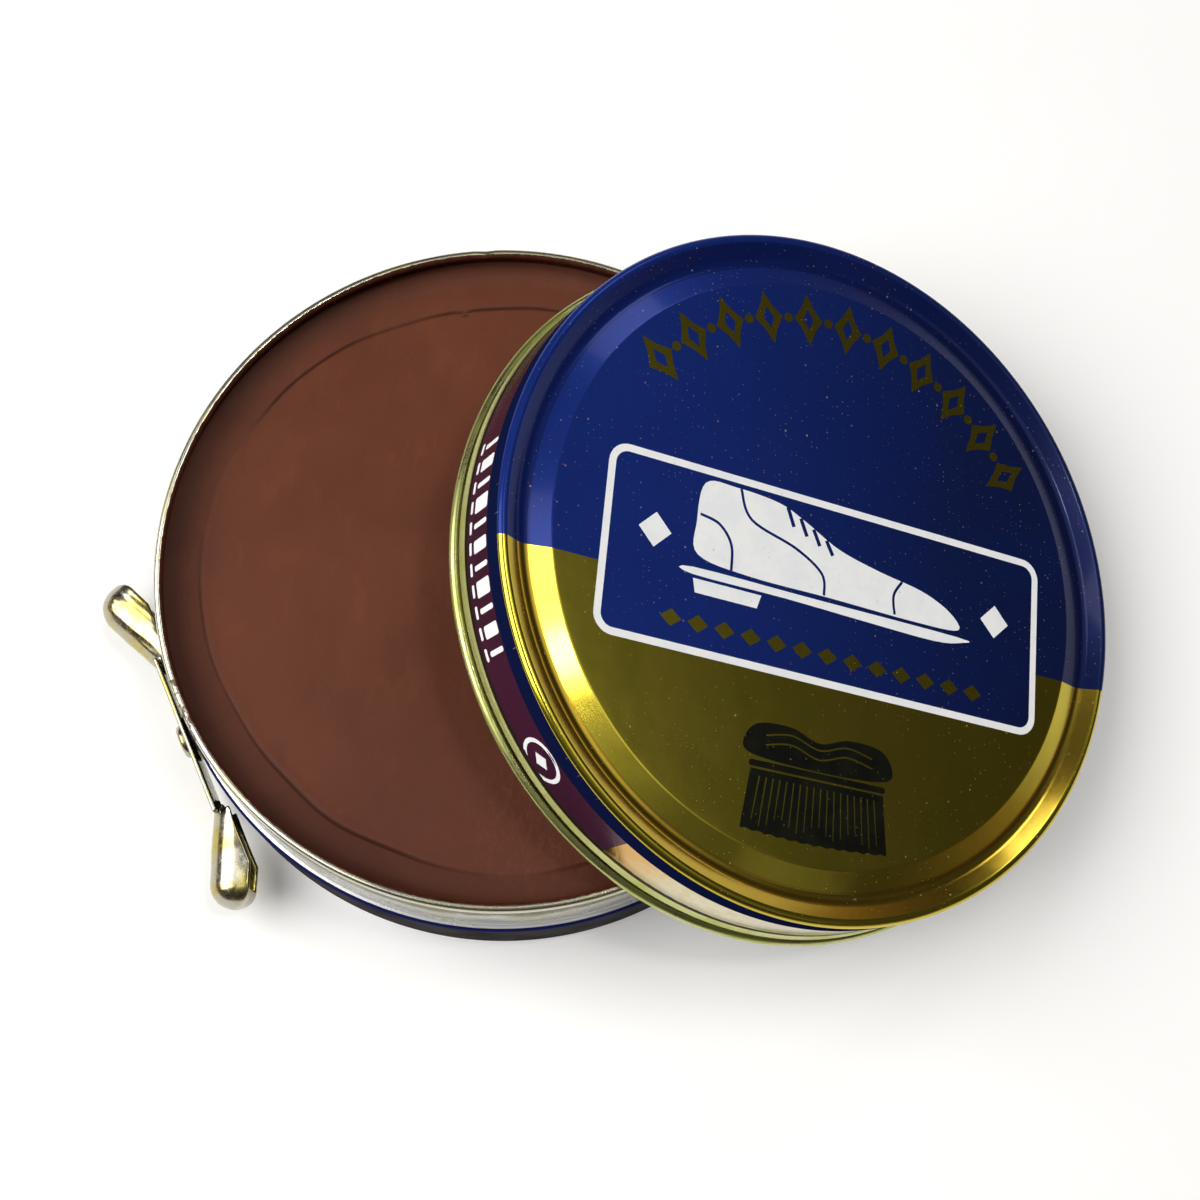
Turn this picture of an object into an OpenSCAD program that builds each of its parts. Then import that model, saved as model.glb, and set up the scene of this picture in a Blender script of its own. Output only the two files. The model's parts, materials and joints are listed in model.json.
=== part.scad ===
// Shoe polish tin, shown open: a stepped drawn base full of polish, a riveted
// butterfly key that prises the lid up, and the lid leaning on the base's rim.
// Millimetres, +Z up. The origin is the centre of the base's underside.

/* [Base] */
// Height of the base, underside to rim
base_h = 20.5; // [19:0.5:24]
// Diameter of the lower wall that the key is riveted to
body_d = 68.6; // [68.2:0.1:69]
// Diameter of the neck that the lid slides over
neck_d = 67.2; // [66.8:0.1:67.4]
// Height of the step between the lower wall and the neck
step_z = 10.9; // [10:0.1:12]
// Thickness of the tinplate
sheet = 0.25; // [0.2:0.05:0.3]
// Outside radius of the curled rim's cross-section
curl_r = 0.45; // [0.4:0.05:0.6]

/* [Polish] */
// Depth of the polish surface below the rim
fill_drop = 3.3; // [2:0.1:6]
// Height that the polish climbs at the wall
fill_climb = 0.9; // [0.3:0.1:1.5]
// Radius of the shrink line in the polish surface
shrink_r = 29.2; // [26:0.1:31]

/* [Lid] */
// Height of the lid, bead to shoulder
lid_h = 10.2; // [9.5:0.1:11]
// Outside diameter of the lid's skirt
skirt_d = 68.3; // [68.1:0.1:68.6]
// Outside radius of the bead's cross-section
bead_r = 0.55; // [0.45:0.05:0.6]
// Radius of the flat panel on top
panel_r = 28.8; // [28:0.1:29.2]

/* [Lid lying open] */
// Lean of the lid from level
lean = 24.3; // [23:0.1:25]
// Clearance between the lid's bead and the base's rim
lean_gap = 0.05; // [0.03:0.01:0.2]

/* [Key] */
// Compass angle of the key round the base, from the lid's side
key_angle = 206.2; // [195:0.1:215]
// Height of the rivet above the underside
rivet_z = 5; // [4.6:0.1:5.6]
// Radius of the rivet's shank
shank_r = 1; // [0.8:0.1:1.2]
// Height of the key's middle strip
web_h = 6.2; // [5:0.1:6.4]
// Half the length of the key's middle strip
web_half = 8.6; // [8.2:0.1:9.2]
// Length of each wing
wing_l = 10.8; // [9:0.1:12]
// Height of each wing
wing_h = 5.2; // [4.6:0.1:5.6]
// Depth of each wing, seen from above
wing_w = 4.3; // [4:0.1:5]
// Outward flare of the wings
wing_flare = 24.5; // [22:0.1:26]

/* [Hidden] */
$fn = 128;

body_r = body_d / 2;
neck_r = neck_d / 2;
skirt_r = skirt_d / 2;

// Base: rounded corners of its outline
foot_r = 2;
step_r = 0.45;
step_fillet = 0.25;
ring_bead = [25.6, 28.4];
ring_rise = 0.4;
curl_ring_r = neck_r - curl_r;
curl_z = base_h - curl_r;

// Polish: it stands just clear of the tinplate
polish_gap = 0.03;
fill_z = base_h - fill_drop;

// Lid: rounded corners of its outline, in the lid's own frame, bead down
shoulder_r = 0.6;
panel_z = lid_h - 0.3;
panel_edge_r = 0.8;
ring_slope = 18;
groove_r = 1.5;
groove_at = panel_r + 2.56;
groove_z = lid_h + 0.49;
groove_rise = 33;
bead_ring_r = skirt_r - sheet + bead_r;

// The lid lies with its bead on the floor at one side and on the rim at the
// other. It crosses the rim at two places, where the touching faces slope.
touch_slope = 26.6;
lid_z = bead_ring_r * sin(lean) + bead_r;
cross_z = curl_z + (curl_r + bead_r + lean_gap) / cos(touch_slope);
cross_u = (lid_z - cross_z) / sin(lean);
cross_y = sqrt(pow(bead_ring_r, 2) - pow(cross_u, 2));
lid_x = sqrt(pow(curl_ring_r, 2) - pow(cross_y, 2)) - cross_u * cos(lean);

// Key: distances out from the base's axis
key_sheet = 0.5;
key_boss_r = 2.4;
key_boss_gap = 0.06;
key_stand_off = 0.6;
key_in = body_r + key_stand_off;
key_out = key_in + key_sheet;
key_bore_r = shank_r + 0.06;
wing_root = 7.95;
wing_root_out = body_r - 1.17;
wing_corner_r = 2;
// Nearest that a wing comes to the axis, and what must stay clear as it turns
wing_in = neck_r + 0.15;
turn_r = 8.7;
turn_in = body_r + 0.2;

// Rivet: a domed head outside and a clenched head inside
head_r = 1.75;
head_h = 0.65;
head_edge_r = 0.45;
head_gap = 0.05;
clench_r = 1.7;
clench_h = 0.5;
clench_in = body_r - sheet - head_gap - clench_h;
rivet_bore_r = shank_r + 0.02;

// Points on an arc, both ends included
function arc(centre, r, from, to, steps = 8) =
    [for (i = [0:steps]) let (a = from + (to - from) * i / steps) centre + r * [cos(a), sin(a)]];

// Direction of a path at point i
function heading(path, i) =
    let (d = path[min(i + 1, len(path) - 1)] - path[max(i - 1, 0)]) d / norm(d);

// The path moved sideways, to its left when gap is positive
function beside(path, gap) =
    [for (i = [0:len(path) - 1]) let (h = heading(path, i)) path[i] + gap * [-h[1], h[0]]];

function reversed(path) = [for (i = [len(path) - 1:-1:0]) path[i]];

// Outside of the base, from the middle of its underside up to the neck
wall_path = concat(
    [[0, 0], [ring_bead[0], 0], [ring_bead[0] + 0.6, ring_rise]],
    [[ring_bead[1] - 0.6, ring_rise], [ring_bead[1], 0]],
    arc([body_r - foot_r, foot_r], foot_r, -90, 0),
    arc([body_r - step_r, step_z - step_r], step_r, 0, 90),
    arc([neck_r + step_fillet, step_z + step_fillet], step_fillet, 270, 180)
);
curl_path = arc([curl_ring_r, curl_z], curl_r, 0, 270, 24);

// Outside of the lid, from the middle of its panel down to the curled bead
lid_path = concat(
    [[0, panel_z]],
    arc([panel_r, panel_z - panel_edge_r], panel_edge_r, 90, 90 - ring_slope),
    arc([groove_at, groove_z], groove_r, 270 - ring_slope, 270 + groove_rise),
    arc([skirt_r - shoulder_r, lid_h - shoulder_r], shoulder_r, 90 + groove_rise, 0, 12),
    arc([bead_ring_r, bead_r], bead_r - sheet, 180, 470, 24)
);

// A spun sheet: a path and its thickness on the left (positive) or right
module spun(path, thickness) {
    rotate_extrude() polygon(concat(path, reversed(beside(path, thickness))));
}

// A cylinder pointing out of the base at the rivet, from one distance to another
module outward(r, from, to) {
    rotate([0, 0, key_angle]) translate([from, 0, rivet_z]) rotate([0, 90, 0]) cylinder(r = r, h = to - from);
}

module base_pan() {
    color("gainsboro")
    difference() {
        spun(concat(wall_path, curl_path), sheet);
        outward(rivet_bore_r, neck_r - 2, body_r + 1);
    }
}

module polish() {
    top_r = neck_r - sheet - polish_gap;
    under = beside(concat(wall_path, [[neck_r, fill_z + fill_climb]]), sheet + polish_gap);
    surface = [
        [top_r - 1.1, fill_z + 0.25], [shrink_r + 0.5, fill_z - 0.12],
        [shrink_r + 0.1, fill_z + 0.12], [shrink_r - 0.8, fill_z], [0, fill_z]
    ];
    color("saddlebrown")
    difference() {
        rotate_extrude() polygon(concat(under, surface));
        outward(clench_r + 0.1, clench_in - 0.1, body_r);
    }
}

module key_rivet() {
    head_in = key_out + head_gap;
    color("silver") union() {
        outward(shank_r, clench_in, head_in + head_h / 2);
        outward(clench_r, clench_in, clench_in + clench_h);
        rotate([0, 0, key_angle]) translate([head_in, 0, rivet_z]) rotate([0, 90, 0])
            rotate_extrude() polygon(concat(
                [[0, 0], [head_r, 0]],
                arc([head_r - head_edge_r, head_h - head_edge_r], head_edge_r, 0, 90),
                [[0, head_h]]
            ));
    }
}

// One wing's filled form, along +X with its open side at -Y
module wing_form(half_h, length, depth, corner_r) {
    intersection() {
        wing_bar(half_h, length, depth);
        linear_extrude(height = 2 * wing_h, center = true) polygon(concat(
            [[-2, depth + 1], [-2, 0]],
            arc([length - corner_r, corner_r], corner_r, -90, 0),
            [[length, depth + 1]]
        ));
    }
}

// A bar with a rounded outer side and end, drawn out to -Y
module wing_bar(half_h, length, depth) {
    translate([0, depth - half_h, 0]) rotate([0, 90, 0]) rotate_extrude()
        intersection() {
            union() {
                square([half_h, length - half_h]);
                translate([0, length - half_h]) circle(r = half_h);
            }
            square([half_h, length]);
        }
    rotate([90, 0, 0]) translate([0, 0, half_h - depth]) linear_extrude(height = depth - half_h + 2)
        union() {
            translate([0, -half_h]) square([length - half_h, 2 * half_h]);
            translate([length - half_h, 0]) circle(r = half_h);
        }
}

// A hollow wing, flared outward, and open on the side that faces the base
module wing() {
    half_h = wing_h / 2;
    rotate([0, 0, wing_flare]) translate([0, -wing_w / 2, 0])
    difference() {
        wing_form(half_h, wing_l, wing_w, wing_corner_r);
        translate([-1, key_sheet, 0])
            wing_form(half_h - key_sheet, wing_l + 1 - key_sheet, wing_w - 2 * key_sheet,
                wing_corner_r - key_sheet);
        translate([-1, -1, key_sheet - half_h]) cube([wing_l - wing_corner_r + 1, 3, wing_h - 2 * key_sheet]);
    }
}

// Space that the wings leave free so that they clear the base as the key turns
module turning_room() {
    translate([-3 * wing_l, wing_in - 4 * wing_w, -wing_h]) cube([6 * wing_l, 4 * wing_w, 2 * wing_h]);
    translate([0, turn_in, 0]) rotate([90, 0, 0]) cylinder(r = turn_r, h = 2 * wing_w);
}

module opener_key() {
    color("silver")
    rotate([0, 0, key_angle - 90]) translate([0, 0, rivet_z])
    difference() {
        union() {
            difference() {
                for (side = [0, 1]) mirror([side, 0, 0]) translate([wing_root, wing_root_out, 0]) wing();
                turning_room();
            }
            translate([-web_half, key_in, -web_h / 2]) cube([2 * web_half, key_sheet, web_h]);
            translate([0, key_in + key_sheet, 0]) rotate([90, 0, 0])
                cylinder(r = key_boss_r, h = key_sheet + key_stand_off - key_boss_gap);
        }
        translate([0, key_out + 1, 0]) rotate([90, 0, 0]) cylinder(r = key_bore_r, h = 4);
    }
}

module lid() {
    color("royalblue")
    translate([lid_x, 0, lid_z]) rotate([0, lean, 0]) translate([0, 0, -bead_r])
        spun(lid_path, -sheet);
}

base_pan();
polish();
key_rivet();
opener_key();
lid();
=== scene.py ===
"""Looks for the open shoe polish tin: spun tinplate, brown wax, a stamped key and a printed lid.

Everything is in the CAD model's frame. Lengths are in millimetres and become metres as meshes are made.
"""

import json
import math

import bmesh
import bpy
import numpy as np
from mathutils import Matrix, Vector
from mathutils.geometry import tessellate_polygon


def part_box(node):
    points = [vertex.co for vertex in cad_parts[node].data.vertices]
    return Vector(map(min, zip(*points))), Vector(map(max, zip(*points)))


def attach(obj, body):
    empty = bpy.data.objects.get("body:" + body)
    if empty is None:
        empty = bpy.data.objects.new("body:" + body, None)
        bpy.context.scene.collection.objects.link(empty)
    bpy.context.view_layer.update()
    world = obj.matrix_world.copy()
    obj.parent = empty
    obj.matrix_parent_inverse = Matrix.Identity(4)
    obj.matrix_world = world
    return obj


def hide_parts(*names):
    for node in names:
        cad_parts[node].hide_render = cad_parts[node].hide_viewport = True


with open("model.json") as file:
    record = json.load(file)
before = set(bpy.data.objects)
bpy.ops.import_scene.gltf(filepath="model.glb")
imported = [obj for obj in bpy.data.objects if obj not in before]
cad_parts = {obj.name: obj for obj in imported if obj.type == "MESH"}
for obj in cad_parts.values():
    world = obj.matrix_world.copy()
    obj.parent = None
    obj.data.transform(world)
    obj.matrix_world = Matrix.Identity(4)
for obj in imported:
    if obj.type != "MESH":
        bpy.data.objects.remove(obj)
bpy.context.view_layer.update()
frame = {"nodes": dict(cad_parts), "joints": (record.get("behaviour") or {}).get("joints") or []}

MM = 0.001
SEED = 7
ROUND = 360

# Base, from the CAD node's box: the wall, the step up to the neck, and the curled rim
BASE_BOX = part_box("base_pan")
BODY_R = BASE_BOX[1][0] / MM
BASE_H = BASE_BOX[1][2] / MM
STEP_IN = 0.7
NECK_R = BODY_R - STEP_IN
STEP_Z = 10.9
STEP_R = 0.45
STEP_FILLET = 0.25
FOOT_R = 2
FOOT_RING = (25.6, 28.4)
FOOT_RING_RISE = 0.4
FOOT_RING_SLOPE = 0.6
SHEET = 0.25
CURL_R = 0.45

# Polish, from its surface under the rim to the wall that it clings to
FILL_Z = BASE_H - 3.3
SHRINK_R = 29.3
WAX_GAP = 0.03
WAX_CLIMB = 0.9
WALL_IN = NECK_R - SHEET - WAX_GAP

# Lid, in its own frame: bead down, axis along +Z
LID_H = 10.2
SHOULDER_R = 0.6
PANEL_EDGE_R = 0.8
GROOVE_R = 1.5
GROOVE_OUT = 2.56
GROOVE_UP = 0.49
SKIRT_R = 34.15
BEAD_R = 0.55
BEAD_RING_R = SKIRT_R - SHEET + BEAD_R
PANEL_R = 28.8
PANEL_Z = LID_H - 0.3
LEAN = math.radians(24.3)
# The print, turned on the panel. Its gold lies below a line, and on one part of the skirt
PRINT_TURN = math.radians(-4.2)
GOLD_LINE_Q = -5.3
GOLD_SIDE = (math.radians(-124.5), math.radians(-64))

# Key: the joint's axis points out of the base through the rivet
KEY_JOINT = next(joint for joint in frame["joints"] if joint["name"] == "key_turn")
KEY_OUT = Vector(KEY_JOINT["axis"]).normalized()
KEY_AT = Vector(KEY_JOINT["pos_m"])


# ---------------------------------------------------------------- outlines


def arc(centre, radius, start, end, steps=12):
    """Points on an arc from one angle to another, in degrees, both ends included."""
    angles = np.radians(np.linspace(start, end, steps + 1))
    return [(centre[0] + radius * math.cos(a), centre[1] + radius * math.sin(a)) for a in angles]


def beside(path, gap):
    """The path moved sideways, to its left when gap is positive."""
    points = np.array(path)
    ahead = np.vstack([points[1:], points[-1:]]) - np.vstack([points[:1], points[:-1]])
    ahead /= np.linalg.norm(ahead, axis=1)[:, None]
    return [tuple(p) for p in points + gap * np.stack([-ahead[:, 1], ahead[:, 0]], axis=1)]


# ---------------------------------------------------------------- meshes


def mesh_object(name, vertices, faces, smooth=True):
    """A mesh object from vertices in millimetres."""
    mesh = bpy.data.meshes.new(name)
    mesh.from_pydata([tuple(v) for v in np.asarray(vertices) * MM], [], faces)
    mesh.validate()
    mesh.update()
    mesh.polygons.foreach_set("use_smooth", [smooth] * len(mesh.polygons))
    piece = bpy.data.objects.new(name, mesh)
    bpy.context.scene.collection.objects.link(piece)
    return piece


def spin(name, outline, steps=ROUND, reshape=None):
    """A closed outline of (radius, height) points spun about Z. The outline's ends may lie on the axis.

    Gives the piece and, for each face, the outline point that it starts from."""
    outline = np.array(outline, float)
    count = len(outline)
    angles = np.linspace(0, 2 * math.pi, steps, endpoint=False)
    radius = np.repeat(outline[None, :, 0], steps, 0)
    height = np.repeat(outline[None, :, 1], steps, 0)
    turn = np.repeat(angles[:, None], count, 1)
    if reshape:
        radius, height = reshape(radius, height, turn)
    vertices = np.stack([radius * np.cos(turn), radius * np.sin(turn), height], -1).reshape(-1, 3)
    on_axis = np.abs(outline[:, 0]) < 1e-9
    index = np.arange(steps * count).reshape(steps, count)
    index[:, on_axis] = index[0, on_axis]
    faces = []
    rows = []
    for i in range(steps):
        j = (i + 1) % steps
        for k in range(count):
            m = (k + 1) % count
            if on_axis[k] and on_axis[m]:
                continue
            corners = [index[i, k], index[j, k], index[j, m], index[i, m]]
            face = [int(c) for n, c in enumerate(corners) if c not in corners[:n]]
            faces.append(face)
            rows.append(k)
    piece = mesh_object(name, vertices, faces)
    drop_loose(piece)
    return piece, rows


def drop_loose(piece):
    """Removes the vertices that no face uses."""
    form = bmesh.new()
    form.from_mesh(piece.data)
    bmesh.ops.delete(form, geom=[v for v in form.verts if not v.link_faces], context="VERTS")
    bmesh.ops.recalc_face_normals(form, faces=form.faces)
    form.to_mesh(piece.data)
    form.free()


def paint_rows(piece, rows, row_slots):
    """Gives each face the material slot of its row of the outline."""
    slots = np.array(row_slots)[np.array(rows)]
    piece.data.polygons.foreach_set("material_index", slots.astype(np.int32))
    piece.data.update()


def mark(piece, name, values):
    """Keeps one number for each vertex, for a material to read."""
    attribute = piece.data.attributes.new(name, "FLOAT", "POINT")
    attribute.data.foreach_set("value", np.asarray(values, np.float32))


def waves(turn, seed, lowest, highest, size):
    """A smooth closed ripple round the tin, from a few seeded sine waves."""
    draw = np.random.default_rng(seed)
    total = np.zeros_like(turn)
    for n in range(lowest, highest + 1):
        total += draw.normal() * np.sin(n * turn + draw.uniform(0, 2 * math.pi))
    return size * total / math.sqrt(highest - lowest + 1)


# ---------------------------------------------------------------- materials


class Finish:
    """A procedural material, built node by node."""

    def __init__(self, name, placed=None):
        """The pattern lies in the piece's own frame, or in the frame that placed gives."""
        self.material = bpy.data.materials.new(name)
        self.material.use_nodes = True
        self.tree = self.material.node_tree
        self.tree.nodes.clear()
        self.where = self.add("TexCoord").outputs["Object"]
        if placed:
            moved_to, turned_by = placed.to_translation(), placed.to_euler()
            place = {"Vector": self.where, "Location": moved_to, "Rotation": turned_by}
            self.where = self.add("Mapping", place, vector_type="TEXTURE").outputs[0]

    def add(self, kind, inputs=None, **settings):
        node = self.tree.nodes.new("ShaderNode" + kind)
        for key, value in settings.items():
            setattr(node, key, value)
        for key, value in (inputs or {}).items():
            if isinstance(value, bpy.types.NodeSocket):
                self.tree.links.new(value, node.inputs[key])
            else:
                node.inputs[key].default_value = value
        return node

    def math(self, operation, a, b=0.0, clamp=False):
        node = self.add("Math", {0: a, 1: b}, operation=operation, use_clamp=clamp)
        return node.outputs[0]

    def split(self):
        node = self.add("SeparateXYZ", {0: self.where})
        return node.outputs[0], node.outputs[1], node.outputs[2]

    def stretch(self, scale):
        return self.add("Mapping", {"Vector": self.where, "Scale": scale}).outputs[0]

    def noise(self, size, detail=3.0, roughness=0.55, vector=None, distortion=0.0):
        """Noise whose largest features are about size millimetres across."""
        inputs = {
            "Vector": vector or self.where,
            "Scale": 1 / (size * MM),
            "Detail": detail,
            "Roughness": roughness,
            "Distortion": distortion,
        }
        return self.add("TexNoise", inputs).outputs["Fac"]

    def between(self, value, low, high, out_low=0.0, out_high=1.0, smooth=True):
        inputs = {"Value": value, "From Min": low, "From Max": high, "To Min": out_low, "To Max": out_high}
        kind = "SMOOTHSTEP" if smooth else "LINEAR"
        return self.add("MapRange", inputs, interpolation_type=kind).outputs[0]

    def mix(self, factor, a, b):
        """A colour between a and b."""
        return self.add("Mix", {0: factor, 6: a, 7: b}, data_type="RGBA").outputs[2]

    def blend(self, factor, a, b):
        """A number between a and b."""
        return self.add("Mix", {0: factor, 2: a, 3: b}, data_type="FLOAT").outputs[0]

    def bump(self, height, depth, normal=None):
        """A bump whose height runs from 0 to 1 over depth millimetres."""
        inputs = {"Height": height, "Distance": depth * MM, "Strength": 1.0}
        if normal is not None:
            inputs["Normal"] = normal
        return self.add("Bump", inputs).outputs[0]

    def kept(self, name):
        """A number that the mesh keeps for each vertex."""
        return self.add("Attribute", attribute_name=name).outputs["Fac"]

    def radius(self):
        """Distance from the piece's own Z axis."""
        x, y, _ = self.split()
        squares = self.math("ADD", self.math("MULTIPLY", x, x), self.math("MULTIPLY", y, y))
        return self.math("SQRT", squares)

    def inside(self, value, low, high):
        """1 where the value lies between two limits, and 0 elsewhere."""
        above, below = self.math("GREATER_THAN", value, low), self.math("LESS_THAN", value, high)
        return self.math("MULTIPLY", above, below)

    def specks(self, spacing, share, smallest, largest):
        """Dots scattered over the XY plane: 1 on a dot, 0 off it. Sizes are radii in millimetres."""
        inputs = {"Vector": self.where, "Scale": 1 / (spacing * MM), "Randomness": 1.0}
        cells = self.add("TexVoronoi", inputs, voronoi_dimensions="2D")
        draw = self.add("SeparateColor", {0: cells.outputs["Color"]})
        radius = self.between(draw.outputs[1], 0, 1, smallest / spacing, largest / spacing, smooth=False)
        inside = self.math("LESS_THAN", cells.outputs["Distance"], radius)
        chosen = self.math("LESS_THAN", draw.outputs[0], share)
        return self.math("MULTIPLY", inside, chosen)

    def finish(self, **inputs):
        shader = self.add("BsdfPrincipled", {k.replace("_", " "): v for k, v in inputs.items()})
        output = self.add("OutputMaterial")
        self.tree.links.new(shader.outputs[0], output.inputs[0])
        return self.material


def grey(value):
    return (value, value, value, 1.0)


def colour(red, green, blue):
    """A colour given as 0 to 255 screen values, made linear as sRGB is."""
    values = (red, green, blue)
    linear = [((v / 255 + 0.055) / 1.055) ** 2.4 if v > 10 else v / 255 / 12.92 for v in values]
    return (*linear, 1.0)


def base_finish():
    """The base's bare tinplate: wax inside and on the rim, painted shade in a band under the rim, and a
    painted pale reflection at the step.
    """
    f = Finish("base_tinplate")
    x, y, z = f.split()
    radius = f.radius()
    turn = f.math("ARCTAN2", y, x)
    cloud = f.noise(5, 4)
    ragged = f.noise(0.7, 4, 0.6)
    marks = f.noise(0.6, 5, 0.7, f.stretch((1, 1, 4)))
    metal = f.mix(f.between(cloud, 0.4, 0.7), colour(200, 197, 184), colour(188, 184, 148))
    metal = f.mix(f.between(marks, 0.55, 0.8, 0, 0.07), metal, colour(140, 136, 112))
    neck = f.math("GREATER_THAN", radius, (NECK_R - SHEET / 2) * MM)
    # Painted reflection: a pale bluish-white band on the neck just above the step, duller than the metal.
    step_reflection = f.math("MULTIPLY", neck, f.between(z, (STEP_Z + 0.3) * MM, (STEP_Z + 2.4) * MM, 0.6, 0))
    metal = f.mix(step_reflection, metal, colour(228, 231, 240))
    # Painted shade: a dark olive band on the neck under the curled rim, less shiny there.
    rim_shade_band = f.math("ADD", z, f.between(cloud, 0.3, 0.7, -0.9 * MM, 0.9 * MM))
    rim_shade_band = f.between(rim_shade_band, (BASE_H - 4.6) * MM, (BASE_H - 2) * MM, 0, 0.75)
    under_rim = f.math("MULTIPLY", neck, f.math("LESS_THAN", z, (BASE_H - 2 * CURL_R) * MM))
    rim_shade = f.math("MULTIPLY", under_rim, rim_shade_band)
    metal = f.mix(rim_shade, metal, colour(104, 101, 70))
    film_edge = f.between(ragged, 0.35, 0.65, -0.03 * MM, 0.03 * MM)
    film_edge = f.math("ADD", (NECK_R - 0.62) * MM, film_edge)
    filmed = f.math("LESS_THAN", radius, film_edge)
    filmed = f.math("MULTIPLY", filmed, f.math("GREATER_THAN", z, 2 * MM))
    wetted = f.inside(z, 2 * MM, (BASE_H - 2 * CURL_R) * MM)
    inner_wall = f.math("MULTIPLY", f.math("SUBTRACT", 1.0, neck), wetted)
    filmed = f.math("MAXIMUM", filmed, inner_wall)
    smear = f.inside(turn, math.radians(-157), math.radians(-146))
    smear = f.math("MULTIPLY", smear, f.between(ragged, 0.48, 0.56))
    smear = f.math("MULTIPLY", smear, f.math("GREATER_THAN", z, (BASE_H - 0.5) * MM))
    filmed = f.math("MAXIMUM", filmed, f.math("MULTIPLY", smear, 0.8))
    film = f.mix(f.between(ragged, 0.3, 0.7), colour(80, 40, 27), colour(62, 30, 21))
    tone = f.mix(filmed, metal, film)
    dull = f.math("MAXIMUM", f.math("MAXIMUM", filmed, step_reflection), rim_shade)
    metallic = f.math("SUBTRACT", 1.0, dull, clamp=True)
    rough = f.math("ADD", f.between(cloud, 0.3, 0.7, 0.2, 0.3), f.math("MULTIPLY", filmed, 0.25))
    return f.finish(
        Base_Color=tone,
        Metallic=metallic,
        Roughness=rough,
        Specular_IOR_Level=f.between(rim_shade, 0, 0.8, 0.12, 0),
        Normal=f.bump(f.noise(8, 2), 0.04),
    )


def base_print_and_shade_finish():
    """The near-black print on the base's lower wall, with a navy line along its top. The near-black is
    partly the print's own colour and partly painted shade at the tin's foot.
    """
    f = Finish("base_print_and_shade")
    _, _, z = f.split()
    cloud = f.noise(5, 4)
    line = f.math("GREATER_THAN", z, (STEP_Z - 1.1) * MM)
    # Painted shade: the lower wall is near-black, partly its dark print and partly the shade at the tin's
    # foot.
    ink = f.mix(f.between(cloud, 0.4, 0.7), colour(31, 26, 26), colour(24, 20, 21))
    ink = f.mix(f.between(f.noise(0.9, 4, 0.7), 0.6, 0.75, 0, 0.5), ink, colour(52, 46, 42))
    tone = f.mix(line, ink, colour(20, 26, 78))
    rough = f.between(cloud, 0.3, 0.7, 0.6, 0.75)
    normal = f.bump(f.noise(7, 2), 0.03)
    return f.finish(Base_Color=tone, Roughness=rough, Specular_IOR_Level=0.03, Normal=normal)


def wax_finish():
    """Brown wax polish: satin, faintly swirled, with painted shade in the shrink line, towards the wall
    and towards the front, and a painted sheen near the front.
    """
    f = Finish("polish_wax")
    cloud = f.noise(13, 4, 0.5, distortion=0.6)
    swirl = f.noise(3.4, 5, 0.6, f.stretch((1.6, 0.7, 1)), distortion=0.7)
    patch = f.noise(7, 1, 0.3)
    grain = f.noise(0.3, 3, 0.65)
    tone = f.mix(f.between(cloud, 0.35, 0.65), colour(91, 46, 27), colour(98, 51, 31))
    tone = f.mix(f.between(swirl, 0.52, 0.75, 0, 0.3), tone, colour(116, 64, 42))
    tone = f.mix(f.between(swirl, 0.25, 0.47, 0.35, 0), tone, colour(82, 40, 24))
    tone = f.mix(f.between(grain, 0.55, 0.8, 0, 0.3), tone, colour(122, 70, 47))
    x, y, _ = f.split()
    # Painted highlight: a lighter, streaky sheen on the wax towards the front.
    away = f.add("CombineXYZ", {0: f.math("SUBTRACT", x, 5 * MM), 1: f.math("SUBTRACT", y, -25 * MM)})
    away = f.add("VectorMath", {0: away.outputs[0]}, operation="LENGTH").outputs["Value"]
    sheen_streaks = f.between(f.noise(0.8, 6, 0.7, f.stretch((1.5, 0.8, 1))), 0.45, 0.65)
    painted_sheen = f.math("MULTIPLY", f.between(away, 2 * MM, 11 * MM, 1, 0), sheen_streaks)
    tone = f.mix(f.math("MULTIPLY", painted_sheen, 0.35), tone, colour(134, 80, 58))
    # Painted shade: the wax darkens towards the front of the tin.
    tone = f.mix(f.between(y, -27 * MM, -8 * MM, 0.35, 0), tone, colour(74, 36, 24))
    # Painted shade: the ring outside the shrink line darkens towards the wall, most at the front and least
    # at the back.
    wall = f.math("MULTIPLY", f.kept("annulus_shade"), f.between(patch, 0.45, 0.5, 0.42, 0.58))
    tone = f.mix(wall, tone, colour(58, 27, 17))
    # Painted shade: the shrink line's crease is darkened.
    tone = f.mix(f.math("MULTIPLY", f.kept("crease"), 0.85), tone, colour(38, 17, 11))
    rough = f.between(f.math("ADD", swirl, grain), 0.6, 1.4, 0.42, 0.6)
    height = f.math("ADD", f.math("MULTIPLY", swirl, 0.8), f.math("MULTIPLY", grain, 0.12))
    return f.finish(
        Base_Color=tone,
        Roughness=rough,
        Specular_IOR_Level=0.16,
        Normal=f.bump(height, 0.05),
    )


def dusted(f, tone):
    """Pale dust on the lid's flat top: the colour with dust on it, and where the dust is."""
    _, _, z = f.split()
    dots = f.math("MAXIMUM", f.specks(0.6, 0.25, 0.02, 0.055), f.specks(2.6, 0.3, 0.05, 0.11))
    dots = f.math("MULTIPLY", dots, f.math("GREATER_THAN", z, (LID_H - 1.05) * MM))
    dots = f.math("MULTIPLY", dots, f.between(f.noise(4, 2), 0.35, 0.6, 0.1, 0.5))
    dust = f.mix(f.between(f.noise(1.3, 1), 0.4, 0.6), colour(186, 174, 124), colour(170, 128, 74))
    return f.mix(dots, tone, dust), dots


def gold_tone(f, cloud):
    """Gold lacquer, with small duller marks."""
    tone = f.mix(f.between(cloud, 0.35, 0.65), colour(188, 173, 54), colour(200, 181, 64))
    return f.mix(f.between(f.noise(0.4, 4, 0.7), 0.5, 0.8, 0, 0.35), tone, colour(168, 140, 44))


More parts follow.
